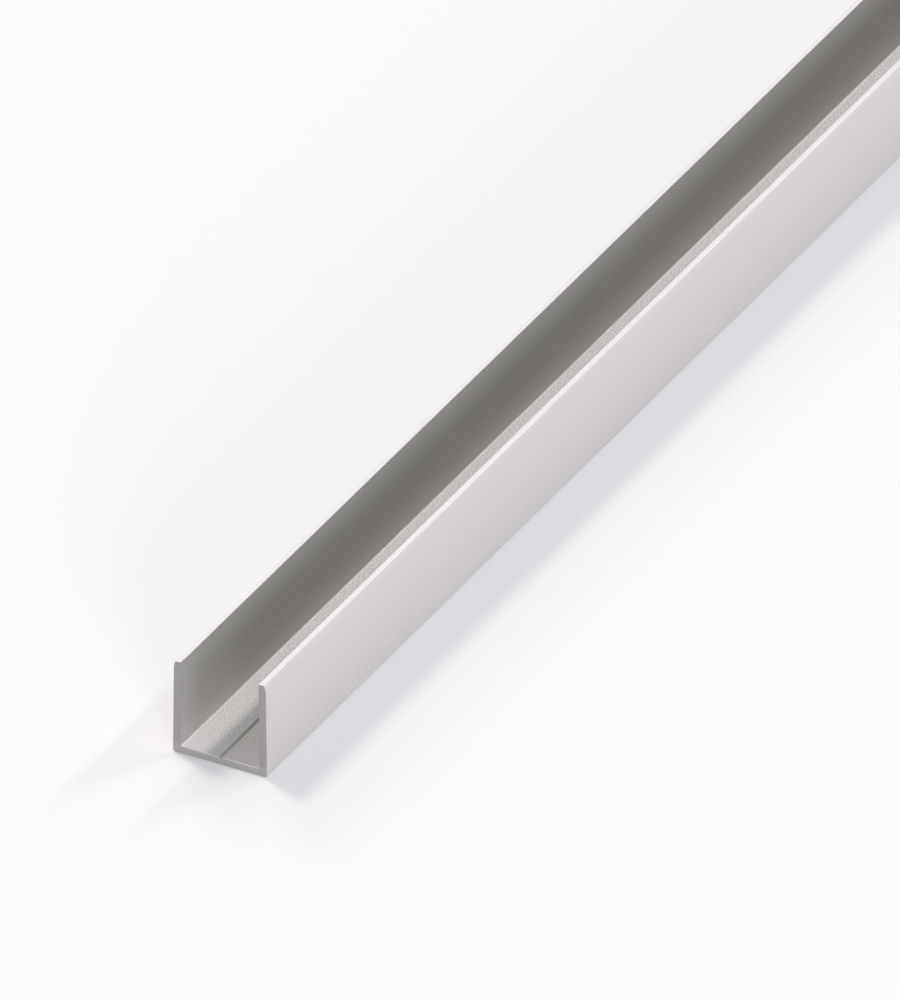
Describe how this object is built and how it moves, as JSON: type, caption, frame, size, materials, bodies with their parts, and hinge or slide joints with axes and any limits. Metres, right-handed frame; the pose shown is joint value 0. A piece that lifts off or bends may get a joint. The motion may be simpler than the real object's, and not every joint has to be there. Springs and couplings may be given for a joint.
{
  "type": "aluminium extrusion profile",
  "caption": "Square U-section aluminium channel, extruded in one piece, with a drilling groove along its web: edges a panel or holds a strip.",
  "frame": {"origin": "under the middle of the web, halfway along the length, on the surface that it lies on", "axes": "+Y along the length, +Z out of the channel's open side, X across the web from flange to flange"},
  "size_m": [0.02, 1, 0.02],
  "materials": {
    "satin_anodised_aluminium": "satin"
  },
  "bodies": {
    "root": {"u_profile": "satin_anodised_aluminium"}
  },
  "joints": []
}
